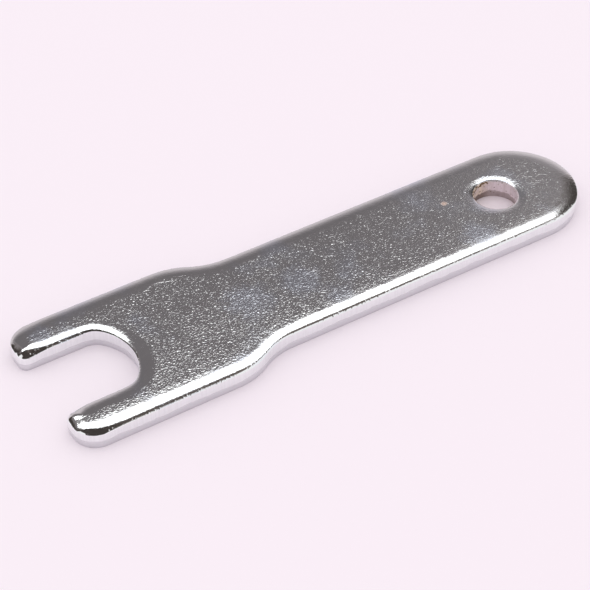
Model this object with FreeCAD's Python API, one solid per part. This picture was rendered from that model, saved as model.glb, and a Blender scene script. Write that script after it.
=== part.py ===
# Open-end wrench, blanked in one stroke from steel plate and lying flat.
# Frame: +X runs from the prong tips to the rounded end, +Y across the plate and +Z up. The
# underside is at z = 0 and the origin is below the middle of the length. Sizes are millimetres.
import FreeCAD
import Part
import math
import os

Vector = FreeCAD.Vector

# Jaw, which takes a nut by two of its flats
nut_across_flats = 16.0
jaw_clearance = 0.15
nut_inset = 7.6
corner_clearance = 1.2
jaw_corner_radius = 3.4

# Prongs, head and handle
prong_width = 8.0
tip_inner_radius = 1.8
tip_flat = 1.6
head_length = 31.1
shoulder_radius = 12.9
handle_width = 24.7
length = 116.0

# Hanging hole
hole_diameter = 8.5
hole_inset = 17.0

# Plate, and the edge that the die leaves on it
thickness = 4.0
fracture_height = 1.5
fracture_draw = 0.25
roll_width = 3.6
jaw_roll_width = 3.1
roll_depth = 0.62
roll_gain = 0.70
roll_spread = 4.0
hole_roll_width = 1.0
hole_roll_depth = 0.4
section_pitch = 1.0

# Sizes that follow from those above
jaw_width = nut_across_flats + jaw_clearance
nut_corner_radius = nut_across_flats / math.sqrt(3)
relief_radius = nut_corner_radius + corner_clearance
head_width = jaw_width + 2 * prong_width
tip_outer_radius = prong_width - tip_flat - tip_inner_radius
end_radius = handle_width / 2
tip_x = -length / 2
end_x = length / 2
nut_x = tip_x + nut_inset
hole_x = end_x - hole_inset

# A roll stays above the fracture
deepest_roll = 0.8 * (thickness - fracture_height)

# Share of an arc's width or height at which its handle lies, for a quarter of an ellipse
QUARTER = 4 / 3 * (math.sqrt(2) - 1)
SECTION_TURN = math.radians(15)
CROSSING_SHARE = 0.85
LEVEL_TOLERANCE = 1e-6


class Side:
    """A straight stretch of the outline, walked with the plate on the right hand."""

    def __init__(self, start, end, width):
        self.start = start
        self.run = (end - start).normalize()
        self.length = (end - start).Length
        self.bulge = 0.0
        self.roll_width = width

    def bearing(self, distance):
        """Angle of the direction out of the plate, from 0 to a whole turn."""
        return math.atan2(self.run.x, -self.run.y) % (2 * math.pi)

    def place(self, distance):
        """Point on the outline."""
        return self.start + self.run * distance

    def parts(self):
        """Distances that part the stretch: the roll eases near its ends and is even between."""
        if self.length <= 2 * roll_spread:
            return [0.0, self.length]
        return [0.0, roll_spread, self.length - roll_spread, self.length]

    def sections(self, low, high):
        """Distances of the sections that one part is lofted through."""
        even = low >= roll_spread and high <= self.length - roll_spread
        return spaced(low, high, 2 if even else 2 + math.ceil((high - low) / section_pitch))


class Bend:
    """A round stretch of the outline. A positive turn is anticlockwise and hollows the plate."""

    def __init__(self, centre, radius, start_angle, turn, width):
        self.centre = centre
        self.radius = radius
        self.start_angle = start_angle
        self.turn = turn
        self.length = radius * abs(turn)
        self.bulge = -math.copysign(1 / radius, turn)
        self.roll_width = width

    def bearing(self, distance):
        """Angle of the direction out of the plate, also past the bend's ends."""
        angle = self.start_angle + self.turn * distance / self.length
        return angle if self.bulge > 0 else angle + math.pi

    def place(self, distance):
        """Point on the outline."""
        angle = self.start_angle + self.turn * distance / self.length
        return self.centre + ray(angle) * self.radius

    def parts(self):
        """Distances that part the stretch: a bend is lofted whole."""
        return [0.0, self.length]

    def sections(self, low, high):
        """Distances of the sections that the bend is lofted through."""
        return spaced(low, high, 2 + math.ceil(abs(self.turn) / SECTION_TURN))


def ray(angle):
    """Level direction at an angle from +X."""
    return Vector(math.cos(angle), math.sin(angle), 0)


def spaced(low, high, count):
    """Evenly spaced distances from low to high."""
    return [low + (high - low) * step / (count - 1) for step in range(count)]


def jaw_outline():
    """Half of the jaw, from its back on the centre line to the prong's tip."""
    half_jaw = jaw_width / 2
    corner_rise = half_jaw - jaw_corner_radius
    corner_reach = math.sqrt((relief_radius - jaw_corner_radius) ** 2 - corner_rise ** 2)
    corner_turn = math.atan2(corner_rise, corner_reach)
    corner = Vector(nut_x + corner_reach, corner_rise, 0)
    flat_end = Vector(tip_x + tip_inner_radius, half_jaw, 0)
    fillet_turn = math.pi / 2 - corner_turn
    back = Bend(Vector(nut_x, 0, 0), relief_radius, 0, corner_turn, jaw_roll_width)
    fillet = Bend(corner, jaw_corner_radius, corner_turn, fillet_turn, jaw_roll_width)
    flat = Side(Vector(corner.x, half_jaw, 0), flat_end, jaw_roll_width)
    return [back, fillet, flat]


def prong_tip():
    """Rounded tip of one prong, from the jaw's flat to the head's side."""
    inner = Vector(tip_x + tip_inner_radius, jaw_width / 2 + tip_inner_radius, 0)
    outer = Vector(tip_x + tip_outer_radius, head_width / 2 - tip_outer_radius, 0)
    quarter_turn = -math.pi / 2
    inner_round = Bend(inner, tip_inner_radius, 3 * math.pi / 2, quarter_turn, jaw_roll_width)
    nose = Side(Vector(tip_x, inner.y, 0), Vector(tip_x, outer.y, 0), jaw_roll_width)
    outer_round = Bend(outer, tip_outer_radius, math.pi, quarter_turn, roll_width)
    return [inner_round, nose, outer_round]


def shoulder_and_end():
    """Head's side, the shoulder's two equal bends, the handle's side and its round end."""
    step = (head_width - handle_width) / 2
    way = math.copysign(1, step)
    turn = way * math.acos(1 - abs(step) / (2 * shoulder_radius))
    reach = 2 * shoulder_radius * abs(math.sin(turn))
    head_x = tip_x + head_length
    upright = way * math.pi / 2
    side_y = handle_width / 2
    first = Vector(head_x, head_width / 2 - way * shoulder_radius, 0)
    second = Vector(head_x + reach, side_y + way * shoulder_radius, 0)
    tip_end = Vector(tip_x + tip_outer_radius, head_width / 2, 0)
    round_centre = Vector(end_x - end_radius, 0, 0)
    return [
        Side(tip_end, Vector(head_x, head_width / 2, 0), roll_width),
        Bend(first, shoulder_radius, upright, -turn, roll_width),
        Bend(second, shoulder_radius, -upright - turn, turn, roll_width),
        Side(Vector(second.x, side_y, 0), Vector(round_centre.x, side_y, 0), roll_width),
        Bend(round_centre, end_radius, math.pi / 2, -math.pi / 2, roll_width),
    ]


def weight(reach):
    """Share before a reach of a weight that fades evenly to nothing at -1 and 1."""
    reach = max(-1.0, min(1.0, reach))
    return 0.5 + reach - reach * abs(reach) / 2


def lever(reach):
    """Lever about 0 of the part of the same weight that lies before a reach."""
    reach = max(-1.0, min(1.0, reach))
    return reach ** 2 / 2 - abs(reach) ** 3 / 3 - 1 / 6


def local_gain(stretch):
    """Depth of the die roll on one stretch against a straight side: more on a bulge."""
    gain = 1 + roll_gain * abs(thickness * stretch.bulge) ** 1.5
    return gain if stretch.bulge >= 0 else 1 / gain


def eased_roll(outline, distance):
    """Direction, width and depth of the roll at a distance along half of the outline.

    Every stretch counts by a weight that fades out over roll_spread either way, and the
    first and the last stretch go on past the centre line.
    """
    width = 0.0
    gain = 0.0
    bearing = 0.0
    bulge = 0.0
    begin = -distance
    for stretch in outline:
        finish = begin + stretch.length
        low = -math.inf if stretch is outline[0] else begin / roll_spread
        high = math.inf if stretch is outline[-1] else finish / roll_spread
        share = weight(high) - weight(low)
        swing = (lever(high) - lever(low)) * roll_spread * stretch.bulge
        width += share * stretch.roll_width
        gain += share * local_gain(stretch)
        bulge += share * stretch.bulge
        bearing += share * stretch.bearing(-begin) - swing
        begin = finish
    if bulge > 0:
        width = (width ** -4 + (CROSSING_SHARE / bulge) ** -4) ** -0.25
    return ray(bearing), width, min(roll_depth * gain, deepest_roll)


def edge_profile(place, outward, fan, width, depth):
    """Section of the sheared edge: drawn-in fracture, burnished wall and die roll.

    The roll's own part is laid along the fan's direction, which is eased round corners.
    """

    def point(reach, height):
        return place + fan * reach + Vector(0, 0, height)

    foot = place - outward * fracture_draw
    waist = point(0, fracture_height)
    brow = point(0, thickness - depth)
    roll = Part.BezierCurve()
    roll.setPoles([
        brow,
        point(0, thickness - depth * (1 - QUARTER)),
        point(-width * (1 - QUARTER), thickness),
        point(-width, thickness),
    ])
    fracture = Part.LineSegment(foot, waist).toShape()
    burnish = Part.LineSegment(waist, brow).toShape()
    return Part.Wire([fracture, burnish, roll.toShape()])


def outline_edge(outline):
    """Faces of the sheared edge along half of the outline, lofted stretch by stretch."""
    faces = []
    walked = 0.0
    for stretch in outline:
        marks = stretch.parts()
        for low, high in zip(marks, marks[1:]):
            profiles = []
            for distance in stretch.sections(low, high):
                fan, width, depth = eased_roll(outline, walked + distance)
                outward = ray(stretch.bearing(distance))
                profiles.append(edge_profile(stretch.place(distance), outward, fan, width, depth))
            faces += Part.makeLoft(profiles, False).Faces
        walked += stretch.length
    return faces


def hole_edge():
    """Faces of the hanging hole, pierced from above like the rest of the outline."""
    wall = Vector(hole_x + hole_diameter / 2, 0, 0)
    inward = Vector(-1, 0, 0)
    profile = edge_profile(wall, inward, inward, hole_roll_width, hole_roll_depth)
    return profile.revolve(Vector(hole_x, 0, 0), Vector(0, 0, 1), 360).Faces


def plate_face(faces, height):
    """Flat face at one height, bounded by the edge's faces and pierced by the hole."""
    rim = []
    for face in faces:
        for edge in face.Edges:
            if all(abs(corner.Z - height) < LEVEL_TOLERANCE for corner in edge.Vertexes):
                rim.append(edge)
    wires = [Part.Wire(group) for group in Part.sortEdges(rim)]
    return Part.makeFace(wires, "Part::FaceMakerBullseye")


def wrench():
    """The whole wrench as one solid."""
    half = outline_edge(jaw_outline() + prong_tip() + shoulder_and_end())
    other_half = [face.mirror(Vector(0, 0, 0), Vector(0, 1, 0)) for face in half]
    faces = half + other_half + hole_edge()
    underside = plate_face(faces, 0)
    top = plate_face(faces, thickness)
    skin = Part.makeCompound(faces + [underside, top])
    skin.sewShape()
    solid = Part.makeSolid(skin.Shells[0])
    if solid.Volume < 0:
        solid.reverse()
    return solid


os.makedirs("parts", exist_ok=True)
wrench().exportStep("parts/wrench.step")
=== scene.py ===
"""Open-end wrench, blanked from chromed plate, lying on a pale floor in soft studio light.

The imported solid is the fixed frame. One finer piece stands for it: the same outline walked with
Blender's own tools, its sheared edge raised ring by ring, and plated with a worn chrome finish.
"""
import logging
import math
from collections.abc import Callable, Iterator
from dataclasses import dataclass, field
from enum import Enum

import bmesh
import bpy
from mathutils import Matrix, Vector


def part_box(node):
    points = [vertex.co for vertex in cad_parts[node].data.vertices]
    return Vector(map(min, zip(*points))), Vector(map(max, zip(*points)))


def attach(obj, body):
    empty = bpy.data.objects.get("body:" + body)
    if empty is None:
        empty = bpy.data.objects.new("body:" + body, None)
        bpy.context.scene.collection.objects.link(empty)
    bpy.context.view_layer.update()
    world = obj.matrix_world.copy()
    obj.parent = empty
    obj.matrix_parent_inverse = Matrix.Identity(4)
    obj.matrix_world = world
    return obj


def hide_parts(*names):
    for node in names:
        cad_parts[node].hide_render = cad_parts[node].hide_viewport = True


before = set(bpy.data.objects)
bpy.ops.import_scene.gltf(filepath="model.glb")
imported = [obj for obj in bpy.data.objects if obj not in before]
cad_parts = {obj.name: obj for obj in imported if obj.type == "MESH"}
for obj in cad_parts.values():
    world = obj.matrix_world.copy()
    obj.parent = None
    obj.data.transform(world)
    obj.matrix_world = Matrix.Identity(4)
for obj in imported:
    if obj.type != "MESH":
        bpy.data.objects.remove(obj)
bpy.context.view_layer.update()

LOG = logging.getLogger("wrench")
MM = 0.001
QUARTER = math.pi / 2
STATION = "station"

# Lengths that count as none: for a vertex's height or side, for merging, and for picking
NEAR = 1e-7
MERGE = 10 * NEAR
PICK = 100 * NEAR

# Sockets of a Mix node that mixes colours, by number because its kinds share their names
MIX_FACTOR, MIX_FIRST, MIX_SECOND, MIX_RESULT = 0, 6, 7, 2

Colour = tuple[float, float, float]

# The values at which a smooth step is 0 and 1
Limits = tuple[float, float]


class Side(Enum):
    """Which way a round stretch turns the plate's outline."""

    BULGE = 1
    HOLLOW = -1


class Skin(Enum):
    """Material slots of the wrench, in order."""

    PLATED = 0
    BORE = 1


@dataclass(frozen=True)
class Station:
    """One point of the outline with the die roll that it carries.

    Attributes:
        place: Point on the outline, in metres.
        outward: Unit direction out of the plate.
        fan: Unit direction that the roll's section is laid along, eased round corners.
        width: How far in the roll begins on the top face.
        depth: How far the roll draws the edge down.
    """

    place: Vector
    outward: Vector
    fan: Vector
    width: float
    depth: float


@dataclass(frozen=True)
class Stretch:
    """Tangent stretch of half the outline, walked from the round end to the jaw.

    Attributes:
        start: First point.
        bearing: Angle of the walk at the first point, from +X.
        length: Distance walked.
        roll_width: Width of the die roll where nothing eases it.
        radius: Radius of a round stretch, or nothing for a straight one.
        side: Whether a round stretch bulges or hollows the plate.
    """

    start: Vector
    bearing: float
    length: float
    roll_width: float
    radius: float | None = None
    side: Side = Side.BULGE

    @property
    def bulge(self) -> float:
        """Signed curvature: positive where the plate bulges."""
        return 0.0 if self.radius is None else self.side.value / self.radius

    @property
    def centre(self) -> Vector:
        """Centre of a round stretch, on the walk's left where it bulges."""
        return self.start - outward(self.bearing) / self.bulge

    @property
    def turn(self) -> float:
        """Angle that the walk turns through, anticlockwise where the plate bulges."""
        return self.bulge * self.length

    def bearing_at(self, distance: float) -> float:
        """Angle of the walk at a distance, also past the stretch's ends."""
        return self.bearing + self.bulge * distance

    def at(self, distance: float) -> Vector:
        """Finds a point of the stretch.

        Args:
            distance: Distance from the first point.

        Returns:
            The point, past an end too.
        """
        if self.radius is None:
            return self.start + forward(self.bearing) * distance
        return self.centre + outward(self.bearing_at(distance)) / self.bulge

    def walked(self, place: Vector) -> float:
        """Measures how far along the stretch a point lies.

        Args:
            place: The point.

        Returns:
            Its distance from the first point.
        """
        if self.radius is None:
            return (place - self.start).dot(forward(self.bearing))
        ray = self.start - self.centre
        other = place - self.centre
        swept = math.atan2(ray.x * other.y - ray.y * other.x, ray.dot(other))
        return swept / self.bulge

    def holds(self, place: Vector) -> bool:
        """Tells whether a point lies on the stretch.

        Args:
            place: The point.

        Returns:
            True on the stretch, its ends included.
        """
        distance = self.walked(place)
        within = -NEAR < distance < self.length + NEAR
        return within and (place - self.at(distance)).length < PICK


def forward(bearing: float) -> Vector:
    """Unit direction of a bearing."""
    return Vector((math.cos(bearing), math.sin(bearing), 0))


def outward(bearing: float) -> Vector:
    """Unit direction to the right of a bearing, out of the plate."""
    return Vector((math.sin(bearing), -math.cos(bearing), 0))


def weight(reach: float) -> float:
    """Share of a weight fading evenly from 0 to 1 either way that lies before a reach."""
    reach = max(-1.0, min(1.0, reach))
    return 0.5 + reach - reach * abs(reach) / 2


def lever(reach: float) -> float:
    """Lever about 0 of the part of the same weight that lies before a reach."""
    reach = max(-1.0, min(1.0, reach))
    return reach**2 / 2 - abs(reach) ** 3 / 3 - 1 / 6


def clear_selection() -> None:
    """Deselects every object."""
    bpy.ops.object.select_all(action="DESELECT")


def pick(mesh: bpy.types.Mesh, wanted: Callable[[bmesh.types.BMVert], bool]) -> None:
    """Selects the vertices that pass a test, with the edges between them.

    Args:
        mesh: Mesh in edit mode.
        wanted: Test of one vertex.
    """
    body = bmesh.from_edit_mesh(mesh)
    body.select_mode = {"VERT"}
    for vertex in body.verts:
        vertex.select_set(False)
    body.select_flush(False)
    for vertex in body.verts:
        vertex.select_set(wanted(vertex))
    body.select_flush(True)
    bmesh.update_edit_mesh(mesh)


@dataclass
class Wrench:
    """The wrench: jaw, prongs, shoulders, handle with a round end, and hanging hole.

    Every size is in metres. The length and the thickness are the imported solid's own.
    """

    length: float
    thickness: float
    jaw_width: float = 16.15 * MM
    nut_corner_radius: float = 16.0 * MM / math.sqrt(3)
    nut_inset: float = 7.6 * MM
    corner_clearance: float = 1.2 * MM
    jaw_corner_radius: float = 3.4 * MM
    prong_width: float = 8.0 * MM
    tip_inner_radius: float = 1.8 * MM
    tip_flat: float = 1.6 * MM
    head_length: float = 31.1 * MM
    shoulder_radius: float = 12.9 * MM
    handle_width: float = 24.7 * MM
    hole_diameter: float = 8.5 * MM
    hole_inset: float = 17.0 * MM
    fracture_height: float = 1.5 * MM
    fracture_draw: float = 0.25 * MM
    roll_width: float = 3.6 * MM
    jaw_roll_width: float = 3.1 * MM
    roll_depth: float = 0.62 * MM
    roll_gain: float = 0.70
    roll_gain_power: float = 1.5
    roll_spread: float = 4.0 * MM
    deepest_share: float = 0.8
    crossing_share: float = 0.85
    crossing_power: int = 4
    hole_roll_width: float = 1.0 * MM
    hole_roll_depth: float = 0.4 * MM
    straight_step: float = 0.8 * MM
    bend_step: float = math.radians(3)
    tilt_step: float = math.radians(4)
    smooth_angle: float = math.radians(35)
    flat_rim: float = 0.25 * MM
    hole_points: int = 96
    steepest_wall: float = 0.9
    stations: list[Station] = field(default_factory=list)

    @property
    def end_radius(self) -> float:
        """Radius of the round end: half the handle's width."""
        return self.handle_width / 2

    @property
    def head_width(self) -> float:
        """Width across both prongs."""
        return self.jaw_width + 2 * self.prong_width

    @property
    def tip_outer_radius(self) -> float:
        """Outer rounding of a prong's tip, which takes what its flat and inner one leave."""
        return self.prong_width - self.tip_flat - self.tip_inner_radius

    @property
    def hole_centre(self) -> Vector:
        """Middle of the hanging hole, on the underside."""
        return Vector((self.length / 2 - self.hole_inset, 0, 0))

    def outline(self) -> list[Stretch]:
        """Lays out half of the outline.

        Returns:
            The stretches from the round end, on the centre line, to the jaw's back.
        """
        shoulder, end = self.shoulder_radius, self.end_radius
        outer, inner = self.tip_outer_radius, self.tip_inner_radius
        fillet, relief = self.jaw_corner_radius, self.nut_corner_radius + self.corner_clearance
        step = (self.head_width - self.handle_width) / 2
        turn = math.acos(1 - step / (2 * shoulder))
        reach = 2 * shoulder * math.sin(turn)
        bend = shoulder * turn
        corner_rise = self.jaw_width / 2 - fillet
        corner_reach = math.sqrt((relief - fillet) ** 2 - corner_rise**2)
        corner_turn = math.atan2(corner_rise, corner_reach)
        flat_reach = self.nut_inset + corner_reach - inner
        handle_side = self.length - end - self.head_length - reach
        outer_plan = [
            (end * QUARTER, end, Side.BULGE),
            (handle_side, None, Side.BULGE),
            (bend, shoulder, Side.HOLLOW),
            (bend, shoulder, Side.BULGE),
            (self.head_length - outer, None, Side.BULGE),
            (outer * QUARTER, outer, Side.BULGE),
        ]
        jaw_plan = [
            (self.tip_flat, None, Side.BULGE),
            (inner * QUARTER, inner, Side.BULGE),
            (flat_reach, None, Side.BULGE),
            (fillet * (QUARTER - corner_turn), fillet, Side.HOLLOW),
            (relief * corner_turn, relief, Side.HOLLOW),
        ]
        plan = [(self.roll_width, *row) for row in outer_plan]
        plan += [(self.jaw_roll_width, *row) for row in jaw_plan]
        place = Vector((self.length / 2, 0, 0))
        bearing = QUARTER
        stretches = []
        for roll, length, radius, side in plan:
            stretch = Stretch(place, bearing, length, roll, radius, side)
            stretches.append(stretch)
            place, bearing = stretch.at(length), stretch.bearing_at(length)
        LOG.info("half outline ends %.6f mm off the centre line", place.y / MM)
        return stretches

    def roll_at(self, outline: list[Stretch], distance: float) -> tuple[Vector, float, float]:
        """Sizes the die roll, eased along the outline.

        Every stretch counts by a weight that fades out over the roll's spread either way.

        Args:
            outline: Stretches of half the outline.
            distance: Distance walked along all of them.

        Returns:
            Direction that the section is laid along, and the roll's width and depth.
        """
        spread = self.roll_spread
        begin = -distance
        width = gain = bearing = bulge = 0.0
        for stretch in outline:
            finish = begin + stretch.length
            low = -math.inf if stretch is outline[0] else begin / spread
            high = math.inf if stretch is outline[-1] else finish / spread
            share = weight(high) - weight(low)
            swing = (lever(high) - lever(low)) * spread * stretch.bulge
            sharpness = abs(self.thickness * stretch.bulge) ** self.roll_gain_power
            strength = 1 + self.roll_gain * sharpness
            gain += share * (strength if stretch.bulge >= 0 else 1 / strength)
            width += share * stretch.roll_width
            bulge += share * stretch.bulge
            bearing += share * stretch.bearing_at(-begin) + swing
            begin = finish
        widest = self.crossing_share / max(bulge, NEAR)
        power = self.crossing_power
        width = (width**-power + widest**-power) ** (-1 / power)
        deepest = self.deepest_share * (self.thickness - self.fracture_height)
        return outward(bearing), width, min(self.roll_depth * gain, deepest)

    def section(self, station: Station) -> Iterator[Vector]:
        """Points of the sheared edge at one station, from the underside to the top face.

        Args:
            station: Point of the outline with its roll.

        Yields:
            The points, the last one a little in on the flat top.
        """

        def point(reach: float, height: float, way: Vector = station.fan) -> Vector:
            """Point at a reach out of the plate and a height."""
            return station.place + way * reach + Vector((0, 0, height))

        brow = self.thickness - station.depth
        yield point(-self.fracture_draw, 0, station.outward)
        yield point(-self.fracture_draw / 2, self.fracture_height / 2, station.outward)
        yield point(0, self.fracture_height)
        yield point(0, (self.fracture_height + brow) / 2)
        steps = round(QUARTER / self.tilt_step)
        for step in range(steps + 1):
            tilt = QUARTER * (1 - step / steps)
            along = math.atan2(station.width * math.sin(tilt), station.depth * math.cos(tilt))
            inset = station.width * (1 - math.sin(along))
            yield point(-inset, brow + station.depth * math.cos(along))
        yield point(-station.width - self.flat_rim, self.thickness)

    def lay_half(self) -> bpy.types.Object:
        """Walks half of the outline with a circle, extrusions and spins.

        Returns:
            The object, in object mode, a chain of edges with numbered stations.
        """
        outline = self.outline()
        clear_selection()
        first = outline[0]
        bpy.ops.mesh.primitive_circle_add(
            vertices=4 * round(QUARTER / self.bend_step),
            radius=first.radius,
            fill_type="NOTHING",
            location=first.centre,
        )
        piece = bpy.context.object
        bpy.ops.object.transform_apply(location=True, rotation=True, scale=True)
        mesh = piece.data
        mesh.attributes.new(STATION, "INT", "POINT")
        bpy.ops.object.mode_set(mode="EDIT")
        pick(mesh, lambda v: v.co.y < -NEAR or v.co.x < first.centre.x - NEAR)
        bpy.ops.mesh.delete(type="VERT")
        self.number(mesh, outline, first, lambda v: True)
        for stretch in outline[1:]:
            self.extend(mesh, stretch)
            self.number(mesh, outline, stretch, lambda v: v.select and stretch.walked(v.co) > PICK)
        bpy.ops.object.mode_set(mode="OBJECT")
        return piece

    def extend(self, mesh: bpy.types.Mesh, stretch: Stretch) -> None:
        """Adds one stretch to the chain's end and leaves its vertices selected.

        Args:
            mesh: Mesh in edit mode.
            stretch: The next stretch of the outline.
        """
        pick(mesh, lambda v: (v.co - stretch.start).length < PICK)
        if stretch.radius is None:
            ends = (stretch.start, stretch.at(stretch.length))
            move = {"value": ends[1] - ends[0]}
            bpy.ops.mesh.extrude_vertices_move(TRANSFORM_OT_translate=move)
            pick(mesh, lambda v: min((v.co - end).length for end in ends) < PICK)
            cuts = math.ceil(stretch.length / self.straight_step) - 1
            if cuts > 0:
                bpy.ops.mesh.subdivide(number_cuts=cuts)
        else:
            bpy.ops.mesh.spin(
                steps=max(2, math.ceil(abs(stretch.turn) / self.bend_step)),
                angle=-stretch.turn,
                center=stretch.centre,
                axis=(0, 0, 1),
            )
        pick(mesh, lambda v: stretch.holds(v.co))

    def number(
        self,
        mesh: bpy.types.Mesh,
        outline: list[Stretch],
        stretch: Stretch,
        wanted: Callable[[bmesh.types.BMVert], bool],
    ) -> None:
        """Makes a station of every new vertex of a stretch.

        Args:
            mesh: Mesh in edit mode.
            outline: Stretches of half the outline.
            stretch: Stretch that the vertices lie on.
            wanted: Test that picks the vertices.
        """
        before = sum(part.length for part in outline[: outline.index(stretch)])
        body = bmesh.from_edit_mesh(mesh)
        layer = body.verts.layers.int[STATION]
        fresh = [v for v in body.verts if wanted(v)]
        for vertex in sorted(fresh, key=lambda v: stretch.walked(v.co)):
            distance = stretch.walked(vertex.co)
            sizes = self.roll_at(outline, before + distance)
            out = outward(stretch.bearing_at(distance))
            self.stations.append(Station(stretch.at(distance), out, *sizes))
            vertex[layer] = len(self.stations)
        bmesh.update_edit_mesh(mesh)

    def raise_edge(self, mesh: bpy.types.Mesh) -> None:
        """Extrudes the selected chain ring by ring up its section.

        Args:
            mesh: Mesh in edit mode, its selected vertices numbered.
        """
        sections = [list(self.section(station)) for station in self.stations]
        for ring in range(len(sections[0])):
            if ring:
                bpy.ops.mesh.extrude_edges_move()
            body = bmesh.from_edit_mesh(mesh)
            layer = body.verts.layers.int[STATION]
            for vertex in body.verts:
                if vertex.select:
                    vertex.co = sections[vertex[layer] - 1][ring]
            bmesh.update_edit_mesh(mesh)

    def pierce(self, mesh: bpy.types.Mesh) -> None:
        """Adds the hanging hole's wall, raised through the same section.

        Args:
            mesh: Mesh in edit mode.
        """
        pick(mesh, lambda v: False)
        bpy.ops.mesh.primitive_circle_add(
            vertices=self.hole_points,
            radius=self.hole_diameter / 2,
            fill_type="NOTHING",
            location=self.hole_centre,
        )
        body = bmesh.from_edit_mesh(mesh)
        layer = body.verts.layers.int[STATION]
        self.stations.clear()
        for vertex in body.verts:
            if vertex.select:
                inward = (self.hole_centre - vertex.co).normalized()
                roll = (self.hole_roll_width, self.hole_roll_depth)
                self.stations.append(Station(vertex.co.copy(), inward, inward, *roll))
                vertex[layer] = len(self.stations)
        bmesh.update_edit_mesh(mesh)
        self.raise_edge(mesh)

    def close_face(self, mesh: bpy.types.Mesh, height: float) -> None:
        """Fills the flat face at one height, between the outline and the hole.

        Args:
            mesh: Mesh in edit mode.
            height: Height of the face.
        """
        body = bmesh.from_edit_mesh(mesh)
        body.select_mode = {"EDGE"}
        for edge in body.edges:
            level = all(abs(v.co.z - height) < NEAR for v in edge.verts)
            edge.select_set(level and edge.is_boundary)
        bmesh.update_edit_mesh(mesh)
        bpy.ops.mesh.fill(use_beauty=True)

    def build(self) -> bpy.types.Object:
        """Builds the wrench as one closed mesh.

        Returns:
            The finished and dressed piece, at the origin.
        """
        piece = self.lay_half()
        mesh = piece.data
        bpy.ops.object.mode_set(mode="EDIT")
        bpy.ops.mesh.select_all(action="SELECT")
        self.raise_edge(mesh)
        bpy.ops.object.mode_set(mode="OBJECT")
        mirror = piece.modifiers.new("other half", "MIRROR")
        mirror.use_axis = (False, True, False)
        mirror.use_clip = True
        mirror.merge_threshold = MERGE
        bpy.ops.object.modifier_apply(modifier=mirror.name)
        bpy.ops.object.mode_set(mode="EDIT")
        self.pierce(mesh)
        self.close_face(mesh, 0)
        self.close_face(mesh, self.thickness)
        bpy.ops.mesh.select_all(action="SELECT")
        bpy.ops.mesh.remove_doubles(threshold=MERGE)
        bpy.ops.mesh.normals_make_consistent(inside=False)
        bpy.ops.object.mode_set(mode="OBJECT")
        bpy.ops.object.shade_smooth_by_angle(angle=self.smooth_angle)
        mesh.attributes.remove(mesh.attributes[STATION])
        self.sort_skins(mesh)
        piece.name = mesh.name = "wrench_plated"
        self.dress(piece)
        return piece

    @staticmethod
    def dress(piece: bpy.types.Object) -> None:
        """Fills the piece's material slots, in the order of Skin."""
        for finish in (PlatedFinish(), BoreFinish()):
            piece.data.materials.append(finish.make())

    def sort_skins(self, mesh: bpy.types.Mesh) -> None:
        """Gives the hole's bare wall its own material slot, below the roll.

        Args:
            mesh: The finished mesh, in object mode.
        """
        for face in mesh.polygons:
            off = face.center - self.hole_centre
            inside = Vector((off.x, off.y)).length < self.hole_diameter / 2 + self.fracture_draw
            wall = abs(face.normal.z) < self.steepest_wall
            face.material_index = (Skin.BORE if inside and wall else Skin.PLATED).value


class Wire:
    """A socket whose operators add Math nodes."""

    def __init__(self, graph: "Graph", socket: bpy.types.NodeSocket) -> None:
        """Keeps the socket and the graph that it belongs to."""
        self.graph = graph
        self.socket = socket

    def math(self, operation: str, *values: "Wire | float") -> "Wire":
        """Adds a Math node that takes this value first."""
        return self.graph.math(operation, self, *values)

    def __add__(self, other: "Wire | float") -> "Wire":
        """Sum."""
        return self.math("ADD", other)

    def __radd__(self, other: float) -> "Wire":
        """Sum with a number first."""
        return self.math("ADD", other)

    def __sub__(self, other: "Wire | float") -> "Wire":
        """Difference."""
        return self.math("SUBTRACT", other)

    def __rsub__(self, other: float) -> "Wire":
        """Difference with a number first."""
        return self.graph.math("SUBTRACT", other, self)

    def __mul__(self, other: "Wire | float") -> "Wire":
        """Product."""
        return self.math("MULTIPLY", other)

    def __rmul__(self, other: float) -> "Wire":
        """Product with a number first."""
        return self.math("MULTIPLY", other)

    def __truediv__(self, other: "Wire | float") -> "Wire":
        """Quotient."""
        return self.math("DIVIDE", other)

    def __abs__(self) -> "Wire":
        """Size without its sign."""
        return self.math("ABSOLUTE")

    def floored(self, floor: float) -> "Wire":
        """Squeezes a share of 0 to 1 into what lies between a floor and 1."""
        return self * (1.0 - floor) + floor

    def step(self, low: float, high: float) -> "Wire":
        """Adds a smooth step.

        Args:
            low: Value at which it is 0.
            high: Value at which it is 1, which may be the lower one.

        Returns:
            The step, level beyond both values.
        """
        if high < low:
            return 1.0 - self.step(high, low)
        settings = {"interpolation_type": "SMOOTHSTEP"}
        values = {"Value": self, "From Min": low, "From Max": high}
        return self.graph.node("ShaderNodeMapRange", settings, values)


@dataclass(frozen=True)
class Noise:
    """One kind of noise.

    Attributes:
        frequency: Waves per millimetre.
        detail: Octaves of finer noise on top.
        shift: Place in the fourth dimension, which keeps this noise apart from the others.
    """

    frequency: float
    detail: float = 2
    shift: float = 0.0


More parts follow.
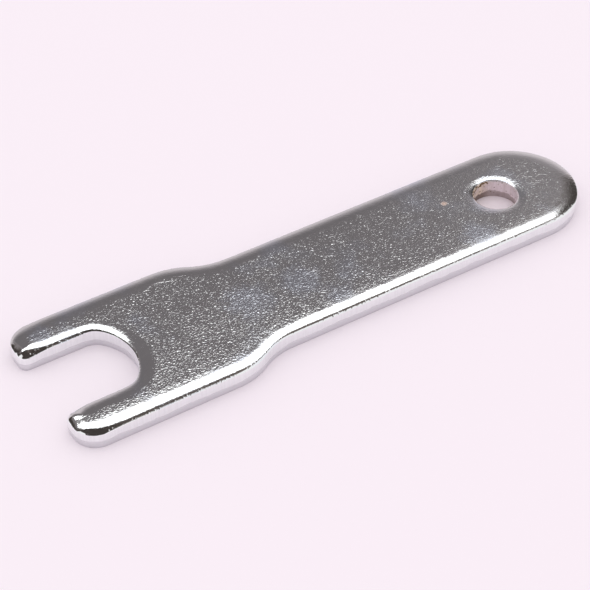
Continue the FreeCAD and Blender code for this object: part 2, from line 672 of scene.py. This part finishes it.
class Graph:
    """Node tree of one material or of the world."""

    GRAIN_LIMITS: Limits = (0.48, 0.05)
    LOWEST_GRAIN: float = 0.3

    def __init__(self, tree: bpy.types.NodeTree) -> None:
        """Empties the tree."""
        self.tree = tree
        tree.nodes.clear()

    def node(
        self,
        kind: str,
        settings: dict | None = None,
        values: dict | None = None,
        output: str | int = 0,
    ) -> Wire:
        """Adds any node.

        Args:
            kind: Node type.
            settings: Properties of the node, set first.
            values: Values or wires of its sockets, by name or number.
            output: Output to return.

        Returns:
            The chosen output.
        """
        made = self.tree.nodes.new(kind)
        for name, value in (settings or {}).items():
            setattr(made, name, value)
        for name, value in (values or {}).items():
            socket = made.inputs[name]
            if isinstance(value, Wire):
                self.tree.links.new(value.socket, socket)
            else:
                socket.default_value = value
        return Wire(self, made.outputs[output] if made.outputs else None)

    def math(self, operation: str, *values: Wire | float) -> Wire:
        """Adds a Math node."""
        return self.node("ShaderNodeMath", {"operation": operation}, dict(enumerate(values)))

    def blend(self, factor: Wire | float, first: Wire | Colour, second: Wire | Colour) -> Wire:
        """Mixes two colours, the second by the factor."""
        values = {MIX_FACTOR: factor, MIX_FIRST: self.paint(first), MIX_SECOND: self.paint(second)}
        return self.node("ShaderNodeMix", {"data_type": "RGBA"}, values, MIX_RESULT)

    @staticmethod
    def paint(colour: Wire | Colour) -> Wire | tuple[float, ...]:
        """Adds alpha to a plain colour."""
        return colour if isinstance(colour, Wire) else (*colour, 1.0)

    def millimetres(self, stretch: tuple[float, float, float] = (1, 1, 1)) -> Wire:
        """Reads the object's coordinates.

        Args:
            stretch: Factor of each axis.

        Returns:
            The coordinates in millimetres, times the factors.
        """
        place = self.node("ShaderNodeTexCoord", output="Object")
        scale = tuple(factor / MM for factor in stretch)
        return self.node("ShaderNodeMapping", values={"Vector": place, "Scale": scale})

    def noise(self, place: Wire, kind: Noise) -> Wire:
        """Adds noise of one kind, which varies about a half."""
        values = {"Vector": place, "Scale": kind.frequency, "Detail": kind.detail, "W": kind.shift}
        return self.node("ShaderNodeTexNoise", {"noise_dimensions": "4D"}, values)

    def grains(self, place: Wire, frequency: float) -> Wire:
        """Adds round grains of uneven height, one in each cell of a random net.

        Args:
            place: Coordinates in millimetres.
            frequency: Grains per millimetre.

        Returns:
            Height from 0 between the grains to 1 on the highest.
        """
        values = {"Vector": place, "Scale": frequency}
        spread = self.node("ShaderNodeTexVoronoi", values=values)
        rank = self.split(self.node("ShaderNodeTexVoronoi", values=values, output="Color"))[0]
        return spread.step(*self.GRAIN_LIMITS) * rank.floored(self.LOWEST_GRAIN)

    def split(self, vector: Wire) -> tuple[Wire, Wire, Wire]:
        """Separates a vector or a colour into its three numbers."""
        node = self.node("ShaderNodeSeparateXYZ", values={0: vector}).socket.node
        return tuple(Wire(self, socket) for socket in node.outputs)

    def diagonal(self, across: Wire, along: Wire) -> Wire:
        """Length of a way from its two level parts."""
        return self.math("SQRT", across * across + along * along)

    def metal(self, colour: Wire, metallic: Wire | float, roughness: Wire, height: Wire) -> None:
        """Ends a material with a bumped Principled surface.

        Args:
            colour: Base colour.
            metallic: Share of bare metal.
            roughness: Roughness.
            height: Height of the relief in millimetres.
        """
        bump = {"Height": height, "Strength": 1.0, "Distance": MM}
        surface = {
            "Base Color": colour,
            "Metallic": metallic,
            "Roughness": roughness,
            "Normal": self.node("ShaderNodeBump", values=bump),
        }
        shader = self.node("ShaderNodeBsdfPrincipled", values=surface)
        self.node("ShaderNodeOutputMaterial", values={"Surface": shader})


@dataclass(frozen=True)
class Spot:
    """Soft, ragged spot on the top face, in millimetres.

    Attributes:
        right: Its middle along the wrench.
        back: Its middle across the wrench.
        size: Radius at which it has faded, give or take its ragged rim.
        core: Share of that radius inside which it is whole.
        rim: Noise of the rim.
    """

    right: float
    back: float
    size: float
    core: float = 0.3
    rim: Noise = Noise(0.6, 3, 5.0)

    def mask(self, graph: Graph, place: Wire) -> Wire:
        """Masks the spot.

        Args:
            graph: Nodes of the material.
            place: Object coordinates in millimetres.

        Returns:
            1 in its middle and 0 outside.
        """
        right, back, _ = graph.split(place)
        off = graph.diagonal(right - self.right, back - self.back)
        ragged = off + (graph.noise(place, self.rim) - 0.5) * self.size
        return ragged.step(self.size, self.size * self.core)


@dataclass(frozen=True)
class Scratch:
    """Wavy scratch along the wrench. Lengths are millimetres, and its wave turns in radians."""

    left_end: Limits = (-31.5, -31.0)
    right_end: Limits = (-23.5, -24.0)
    back: float = 12.2
    wave_height: float = 0.5
    wave_turn: float = 0.85
    wave_phase: float = 25.43
    jog: Noise = Noise(0.9, 1, 21.0)
    jog_height: float = 0.5
    line_limits: Limits = (0.16, 0.02)

    def mask(self, graph: Graph, place: Wire) -> Wire:
        """Masks the scratch.

        Args:
            graph: Nodes of the material.
            place: Object coordinates in millimetres.

        Returns:
            1 on its line and 0 beside it.
        """
        right, back, _ = graph.split(place)
        wave = graph.math("SINE", right * self.wave_turn + self.wave_phase) * self.wave_height
        jog = (graph.noise(place, self.jog) - 0.5) * self.jog_height
        span = right.step(*self.left_end) * right.step(*self.right_end)
        return abs(back - (wave + self.back) - jog).step(*self.line_limits) * span


@dataclass(frozen=True)
class PlatedFinish:
    """Bright chrome over blanked steel: grains, pits and haze above, streaks on the wall, with a
    painted bluish reflection in the haze and painted shade at the wall's foot.

    Lengths are millimetres and colours linear. A cover is the share by which one colour lies
    over another, and the roughness of each flaw is what it adds to the polish.
    """

    colour: Colour = (0.90, 0.92, 0.925)
    # Bluish tint of the hazy spots: a painted reflection
    bluish_reflection_colour: Colour = (0.80, 0.845, 0.935)
    fracture_colour: Colour = (0.75, 0.75, 0.77)
    # Darker colour of the ledge's line, and of the painted shade at the wall's foot
    ledge_and_foot_shade_colour: Colour = (0.66, 0.65, 0.68)
    blush_colour: Colour = (0.98, 0.72, 0.60)
    bluish_reflection_cover: float = 0.8
    blush_cover: float = 0.8
    streak_cover: float = 0.25
    ledge_and_foot_shade_cover: float = 0.7

    polish: float = 0.06
    haze_roughness: float = 0.08
    torn_roughness: float = 0.22
    mottle_roughness: float = 0.10
    worn_roughness: float = 0.07
    blush_roughness: float = 0.25

    # Limits of the normal's upward part: for the top with its roll, the flat top alone, and
    # both ends of the roll's steep part
    face_limits: Limits = (0.15, 0.55)
    level_limits: Limits = (0.9985, 0.99998)
    steep_limits: Limits = (0.3, 0.6)
    gentle_limits: Limits = (0.975, 0.93)

    # Fracture: its wavy upper border, the ledge on it, and painted shade at the foot
    fracture_top: float = 1.62
    fracture_wave: float = 1.3
    fracture_jitter: float = 0.2
    border: Noise = Noise(0.24, 2, 1.0)
    jitter: Noise = Noise(3.0, 2, 6.0)
    torn_limits: Limits = (0.04, -0.04)
    ledge_limits: Limits = (0.09, 0.02)
    # Heights over which painted shade darkens the wall towards its foot
    foot_shade_limits: Limits = (0.75, 0.2)
    tear: Noise = Noise(4.5, 3, 7.0)
    tear_height: float = 0.022

    # Upright streaks on the wall, and haze with a painted bluish reflection in its colour, wear
    # and a warm spot on the top
    streak: Noise = Noise(1.0, 2)
    streak_stretch: tuple[float, float, float] = (3, 3, 0.1)
    streak_limits: Limits = (0.35, 0.65)
    haze: Noise = Noise(0.11, 3, 3.0)
    haze_limits: Limits = (0.50, 0.72)
    haze_spots: tuple[Spot, ...] = (
        Spot(-52.3, 11.7, 3.4),
        Spot(-15.7, -0.8, 6.5),
        Spot(-4.9, -1.0, 6.0),
        Spot(31.0, -8.2, 5.0),
    )
    mottle: Noise = Noise(2.6, 2, 12.0)
    mottle_limits: Limits = (0.45, 0.75)
    worn_limits: Limits = (0, 55)
    blush_spot: Spot = Spot(30.8, 3.1, 0.9)

    # Relief: the grains crowd in some places, less towards the round end and on the roll
    swell: Noise = Noise(0.45, 2)
    swell_height: float = 0.022
    crowd: Noise = Noise(0.12, 2, 9.0)
    crowd_limits: Limits = (0.25, 0.65)
    crowd_floor: float = 0.8
    sparse_limits: Limits = (60, -20)
    sparse_floor: float = 0.7
    roll_floor: float = 0.15
    peel: Noise = Noise(2.7, 2, 4.0)
    peel_height: float = 0.050
    wall_peel: float = 0.05
    grain_frequency: float = 1.7
    grain_height: float = 0.018
    steep_grains: float = 1.5

    # Hairlines where a noise crosses its mean, in some places and in one scribble
    hair: Noise = Noise(0.55, 1, 14.0)
    hair_limits: Limits = (0.012, 0.0)
    hair_places: Noise = Noise(0.16, 1, 17.0)
    hair_place_limits: Limits = (0.60, 0.66)
    scribble: Spot = Spot(51.2, 1.6, 6.0)
    hair_height: float = 0.008

    # One wavy scratch, and the dish round the hanging hole
    scratch: Scratch = Scratch()
    scratch_height: float = 0.011
    dish_right: float = 41.0
    dish_limits: Limits = (4.8, 6.1)
    dish_depth: float = 0.10

    def relief(self, graph: Graph, place: Wire, face: Wire, level: Wire, steep: Wire) -> Wire:
        """Height of the texture left by pickling and tumbling under the plating.

        Args:
            graph: Nodes of the material.
            place: Object coordinates in millimetres.
            face: 1 on the top face and the roll, 0 on the wall.
            level: 1 on the top face, 0 on the roll and the wall.
            steep: 1 on the roll's steep part.

        Returns:
            Height in millimetres.
        """
        right, back, _ = graph.split(place)
        swell = graph.noise(place, self.swell) * self.swell_height
        crowd = graph.noise(place, self.crowd).step(*self.crowd_limits).floored(self.crowd_floor)
        crowd = crowd * right.step(*self.sparse_limits).floored(self.sparse_floor)
        crowd = crowd * level.floored(self.roll_floor)
        peel = graph.noise(place, self.peel) * self.peel_height
        peel = peel * (crowd * face + self.wall_peel)
        grains = graph.grains(place, self.grain_frequency) * self.grain_height
        grains = grains * (crowd + steep * self.steep_grains) * face
        wander = abs(graph.noise(place, self.hair) - 0.5).step(*self.hair_limits)
        where = graph.noise(place, self.hair_places).step(*self.hair_place_limits)
        where = graph.math("MAXIMUM", where, self.scribble.mask(graph, place))
        hair = wander * where * level * self.hair_height
        scratch = self.scratch.mask(graph, place) * level * self.scratch_height
        dish = graph.diagonal(right - self.dish_right, back).step(*self.dish_limits)
        return swell + peel + grains + hair + scratch + dish * self.dish_depth

    def make(self) -> bpy.types.Material:
        """Builds the material.

        Returns:
            The material.
        """
        made = bpy.data.materials.new("chrome_plate")
        made.use_nodes = True
        graph = Graph(made.node_tree)
        place = graph.millimetres()
        right, _, height = graph.split(place)
        upward = graph.split(graph.node("ShaderNodeNewGeometry", output="Normal"))[2]
        face = upward.step(*self.face_limits)
        level = upward.step(*self.level_limits)
        steep = upward.step(*self.gentle_limits) * upward.step(*self.steep_limits)
        border = (graph.noise(place, self.border) - 0.5) * self.fracture_wave
        jitter = (graph.noise(place, self.jitter) - 0.5) * self.fracture_jitter
        top = border + jitter + self.fracture_top
        torn = (height - top).step(*self.torn_limits)
        ledge = abs(height - top).step(*self.ledge_limits)
        # Hazy spots: real haze that roughens the plate, with a painted bluish reflection in their
        # colour
        haze_and_reflection = graph.noise(place, self.haze).step(*self.haze_limits)
        for spot in self.haze_spots:
            haze_and_reflection = graph.math("MAXIMUM", haze_and_reflection, spot.mask(graph, place))
        haze_and_reflection = haze_and_reflection * face
        tear = graph.noise(place, self.tear) * self.tear_height
        rise = self.relief(graph, place, face, level, steep) + tear * torn
        streak = graph.noise(graph.millimetres(self.streak_stretch), self.streak)
        streak = streak.step(*self.streak_limits) * (1.0 - face)
        blush = self.blush_spot.mask(graph, place) * level
        # Painted shade: the wall is darker towards its foot, next to the floor
        foot = height.step(*self.foot_shade_limits)
        # Painted reflection: the hazy spots are tinted bluish
        plate = graph.blend(haze_and_reflection * self.bluish_reflection_cover, self.colour, self.bluish_reflection_colour)
        plate = graph.blend(blush * self.blush_cover, plate, self.blush_colour)
        wall = graph.blend(streak * self.streak_cover, plate, self.fracture_colour)
        lower = graph.blend(torn, wall, self.fracture_colour)
        # grey: the ledge's line and the painted shade at the foot, in one darker colour
        grey = graph.math("MAXIMUM", ledge, foot) * self.ledge_and_foot_shade_cover
        mottle = graph.noise(place, self.mottle).step(*self.mottle_limits) * face
        worn = right.step(*self.worn_limits) * face
        rough = haze_and_reflection * self.haze_roughness + torn * self.torn_roughness
        rough = rough + mottle * self.mottle_roughness + self.polish
        rough = rough + worn * self.worn_roughness + blush * self.blush_roughness
        graph.metal(graph.blend(grey, lower, self.ledge_and_foot_shade_colour), 1.0, rough, rise)
        return made


@dataclass(frozen=True)
class BoreFinish:
    """Hole's wall, which the plating hardly reaches: streaked steel, browner towards the jaw.

    Lengths are millimetres and colours linear. Covers and roughness are as on the plating.
    """

    colour: Colour = (0.80, 0.71, 0.75)
    tan_colour: Colour = (0.82, 0.70, 0.58)
    streak_colour: Colour = (0.52, 0.43, 0.42)
    torn_colour: Colour = (0.22, 0.17, 0.15)
    rust_colour: Colour = (0.16, 0.09, 0.045)
    streak_cover: float = 0.45
    torn_cover: float = 0.55
    torn_left_cover: float = 0.4

    metal: float = 0.5
    rust_metal: float = 0.4
    polish: float = 0.32
    rust_roughness: float = 0.4
    torn_roughness: float = 0.15

    streak: Noise = Noise(1.0, 3)
    streak_stretch: tuple[float, float, float] = (2.4, 2.4, 0.15)
    streak_limits: Limits = (0.35, 0.7)
    border: Noise = Noise(0.9, 3, 1.0)
    fracture_wave: float = 1.6
    fracture_top: float = 0.75
    torn_limits: Limits = (0.15, -0.15)
    left_limits: Limits = (43.2, 40.6)
    tan: Noise = Noise(0.5, 2, 8.0)
    tan_limits: Limits = (0.25, 0.45)

    # Rust: chips of noise, helped below the roll and at the foot
    chips: Noise = Noise(2.2, 3, 5.0)
    chip_limits: Limits = (0.62, 0.68)
    brow_height: Limits = (2.95, 3.5)
    brow_right: Limits = (42.6, 41.6)
    brow_help: float = 0.18
    foot_height: Limits = (0.9, 0.2)
    foot_right: Limits = (41.0, 38.5)
    foot_help: float = 0.16

    grit: Noise = Noise(5.0, 3, 2.0)
    grit_height: float = 0.02
    even_grit: float = 0.2

    def make(self) -> bpy.types.Material:
        """Builds the material.

        Returns:
            The material.
        """
        made = bpy.data.materials.new("bare_bore")
        made.use_nodes = True
        graph = Graph(made.node_tree)
        place = graph.millimetres()
        right, _, height = graph.split(place)
        streak = graph.noise(graph.millimetres(self.streak_stretch), self.streak)
        streak = streak.step(*self.streak_limits) * self.streak_cover
        border = graph.noise(place, self.border) * self.fracture_wave
        torn = (height - border - self.fracture_top).step(*self.torn_limits)
        left = right.step(*self.left_limits)
        brow = height.step(*self.brow_height) * right.step(*self.brow_right)
        foot = height.step(*self.foot_height) * right.step(*self.foot_right)
        chips = graph.noise(place, self.chips) + brow * self.brow_help + foot * self.foot_help
        rust = chips.step(*self.chip_limits)
        tan = left * graph.noise(place, self.tan).step(*self.tan_limits)
        base = graph.blend(tan, self.colour, self.tan_colour)
        steel = graph.blend(streak, base, self.streak_colour)
        dark = torn * (left * self.torn_left_cover + self.torn_cover)
        lower = graph.blend(dark, steel, self.torn_colour)
        colour = graph.blend(rust, lower, self.rust_colour)
        metallic = self.metal - rust * self.rust_metal
        rough = rust * self.rust_roughness + torn * self.torn_roughness + self.polish
        grit = graph.noise(place, self.grit) * self.grit_height
        graph.metal(colour, metallic, rough, grit * (torn + rust + self.even_grit))
        return made


@dataclass(frozen=True)
class Softbox:
    """Rectangular soft lamp above the wrench, facing down.

    Attributes:
        name: Name of the lamp.
        left, right, front, back: Its sides, in metres from above the wrench.
        turn: Angle in degrees that it is turned by about the vertical.
        radiance: Brightness of its face.
        mirrored: Whether metal mirrors it; otherwise it lights matt things alone.
        height: Height of its face, in metres.
    """

    name: str
    left: float
    right: float
    front: float
    back: float
    turn: float
    radiance: float
    mirrored: bool = True
    height: float = 1.0


@dataclass(frozen=True)
class Studio:
    """Pale floor, soft lamps overhead, and the room that the metal mirrors.

    The room is a picture of directions: their parts to the right, back and up, the same two
    over the upward one, and elevations in degrees.
    """

    floor_colour: Colour = (0.95, 0.868, 0.928)
    room_colour: Colour = (1.0, 0.90, 0.935)
    gloom_colour: Colour = (1.0, 0.82, 0.76)
    pale_colour: Colour = (0.99, 0.975, 0.985)
    floor_size: float = 6.0
    floor_gap: float = 0.01 * MM
    fill: float = 0.975
    lowest: float = 0.02
    least_level: float = 1e-4
    bounce_limits: Limits = (0.2, 0.8)

    # Ceiling, paler away from the back; aside is how near a level way is to the back
    ceiling: float = 0.157
    ceiling_elevations: Limits = (33, 48)
    ceiling_back: Limits = (0.33, 0.50)
    ceiling_lift: float = 0.07
    lift_limits: Limits = (0.94, 0.91)
    aside_way: tuple[float, float] = (0.3, 0.954)

    # Gloom below it, with one paler place on the right
    gloom: float = 0.05
    pale_gloom: float = 0.09
    gloom_rise: Limits = (0.20, 0.45)
    gloom_fall: Limits = (0.85, 0.68)

    # Glow behind, towards the horizon
    behind_tilt: float = 0.40
    behind_limits: Limits = (0.60, 0.67)
    glow: float = 0.44
    glow_elevations: Limits = (35, 16)

    # Pale things: the horizon, a panel on the left, and a slanting one in front
    horizon: float = 0.95
    horizon_elevations: Limits = (11, 8)
    panel_way: tuple[float, float] = (-1.0, -0.03)
    panel_limits: Limits = (0.94, 0.965)
    panel_elevations: Limits = (54, 48)
    slant_start: float = 0.40
    slant: float = 0.7
    slant_end: float = 0.22
    front_limits: Limits = (-0.07, -0.13)
    front_right: Limits = (0.30, 0.42)
    softboxes: tuple[Softbox, ...] = (
        Softbox("overhead", 0.04, 0.68, 0.35, 0.79, -12, 1.6),
        Softbox("middle", -0.22, 0.04, 0.35, 0.745, -12, 1.6),
        Softbox("left", -0.60, -0.19, 0.32, 0.62, -22, 1.6),
        Softbox("key", -0.40, 0.60, -0.10, 0.50, 0, 0.35, mirrored=False),
    )

    def lay_floor(self) -> None:
        """Lays the floor, which is no part of the object."""
        clear_selection()
        bpy.ops.mesh.primitive_plane_add(size=self.floor_size, location=(0, 0, -self.floor_gap))
        floor = bpy.context.object
        floor.name = "floor"
        made = bpy.data.materials.new("pale_paper")
        made.use_nodes = True
        graph = Graph(made.node_tree)
        paint = graph.paint(self.floor_colour)
        matt = graph.node("ShaderNodeBsdfDiffuse", values={"Color": paint})
        graph.node("ShaderNodeOutputMaterial", values={"Surface": matt})
        floor.data.materials.append(made)

    @staticmethod
    def hang_lamp(softbox: Softbox) -> None:
        """Hangs one soft lamp, facing straight down.

        Args:
            softbox: Sides and brightness of the lamp.
        """
        lamp = bpy.data.lights.new(softbox.name, "AREA")
        lamp.shape = "RECTANGLE"
        lamp.size = softbox.right - softbox.left
        lamp.size_y = softbox.back - softbox.front
        lamp.energy = softbox.radiance * math.pi * lamp.size * lamp.size_y
        hung = bpy.data.objects.new(softbox.name, lamp)
        across = (softbox.left + softbox.right) / 2
        along = (softbox.front + softbox.back) / 2
        turn = Matrix.Rotation(math.radians(softbox.turn), 4, "Z")
        hung.matrix_world = turn @ Matrix.Translation((across, along, softbox.height))
        hung.visible_glossy = softbox.mirrored
        hung.visible_diffuse = not softbox.mirrored
        bpy.context.scene.collection.objects.link(hung)

    def paint_room(self) -> None:
        """Paints what the metal mirrors: a grey ceiling, gloom, pale panels and horizon."""
        world = bpy.data.worlds.new("room")
        bpy.context.scene.world = world
        world.use_nodes = True
        graph = Graph(world.node_tree)
        right, back, up = graph.split(graph.node("ShaderNodeTexCoord", output="Generated"))
        level = graph.diagonal(right, back) + self.least_level
        steep = graph.math("MAXIMUM", up, self.lowest)
        rightward, backward = right / steep, back / steep
        aside = (right * self.aside_way[0] + back * self.aside_way[1]) / level
        ceiling = aside.step(*self.lift_limits) * self.ceiling_lift + self.ceiling
        gloom = rightward.step(*self.gloom_rise) * rightward.step(*self.gloom_fall)
        gloom = gloom * self.pale_gloom + self.gloom
        rise = self.between(up, self.ceiling_elevations) * back.step(*self.ceiling_back)
        room = rise * (ceiling - gloom) + gloom
        behind = (aside - up * self.behind_tilt).step(*self.behind_limits)
        glow = self.between(up, self.glow_elevations) * self.glow + ceiling
        room = room * (1.0 - behind) + behind * glow
        beside = (right * self.panel_way[0] + back * self.panel_way[1]) / level
        panel = beside.step(*self.panel_limits) * self.between(up, self.panel_elevations)
        slant = graph.math("MINIMUM", (rightward - self.slant_start) * self.slant, self.slant_end)
        front = (backward - slant).step(*self.front_limits)
        front = front * rightward.step(*self.front_right)
        strip = self.between(up, self.horizon_elevations) * (1.0 - behind)
        pale = graph.math("MAXIMUM", graph.math("MAXIMUM", panel, strip), front)
        room = room * (1.0 - pale) + pale * self.horizon
        bounced = graph.node("ShaderNodeLightPath", output="Diffuse Depth")
        glossy = graph.node("ShaderNodeLightPath", output="Is Glossy Ray")
        camera = graph.node("ShaderNodeLightPath", output="Is Camera Ray")
        mirrored = glossy * (1.0 - bounced.step(*self.bounce_limits))
        seen = room * mirrored + self.fill * (1.0 - mirrored) * (1.0 - camera) + camera
        dim = graph.blend(graph.math("MAXIMUM", rise, behind), self.gloom_colour, self.room_colour)
        tint = graph.blend(mirrored * (1.0 - pale), self.pale_colour, dim)
        colour = graph.blend(camera, tint, self.floor_colour)
        sky = graph.node("ShaderNodeBackground", values={"Color": colour, "Strength": seen})
        graph.node("ShaderNodeOutputWorld", values={"Surface": sky})

    @staticmethod
    def between(up: Wire, elevations: Limits) -> Wire:
        """Smooth step between two elevations of a direction, given by its upward part."""
        return up.step(*(math.sin(math.radians(degrees)) for degrees in elevations))


@dataclass(frozen=True)
class Camera:
    """The photograph's viewpoint.

    Attributes:
        place, aim, clip: Where it stands and looks, and how near and far it sees, in metres.
        roll: Turn about its own axis, in degrees.
        lens, sensor: Focal length and width of the sensor, in millimetres.
    """

    place: tuple[float, float, float] = (-0.15126, -0.23180, 0.24167)
    aim: tuple[float, float, float] = (-0.00549, -0.00013, 0.0)
    roll: float = -0.308
    lens: float = 119.16
    sensor: float = 36.0
    clip: tuple[float, float] = (0.01, 20.0)

    def set_up(self) -> None:
        """Puts up the scene's camera."""
        data = bpy.data.cameras.new("camera")
        data.lens = self.lens
        data.sensor_width = self.sensor
        data.clip_start, data.clip_end = self.clip
        camera = bpy.data.objects.new("camera", data)
        bpy.context.scene.collection.objects.link(camera)
        place = Vector(self.place)
        look = (Vector(self.aim) - place).to_track_quat("-Z", "Y")
        spin = Matrix.Rotation(math.radians(self.roll), 4, "Z")
        camera.matrix_world = Matrix.Translation(place) @ look.to_matrix().to_4x4() @ spin
        bpy.context.scene.camera = camera


def main() -> None:
    """Builds the set and the wrench, and reports each piece."""
    logging.basicConfig(level=logging.INFO, format="%(name)s: %(message)s")
    bpy.context.scene.view_settings.view_transform = "Standard"
    Camera().set_up()
    studio = Studio()
    studio.lay_floor()
    for softbox in studio.softboxes:
        studio.hang_lamp(softbox)
    studio.paint_room()
    low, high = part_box("wrench")
    piece = Wrench(length=high.x - low.x, thickness=high.z - low.z).build()
    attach(piece, "root")
    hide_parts("wrench")
    mesh = piece.data
    LOG.info("%s: %d vertices, %d faces", piece.name, len(mesh.vertices), len(mesh.polygons))


if __name__ == "__main__":
    main()
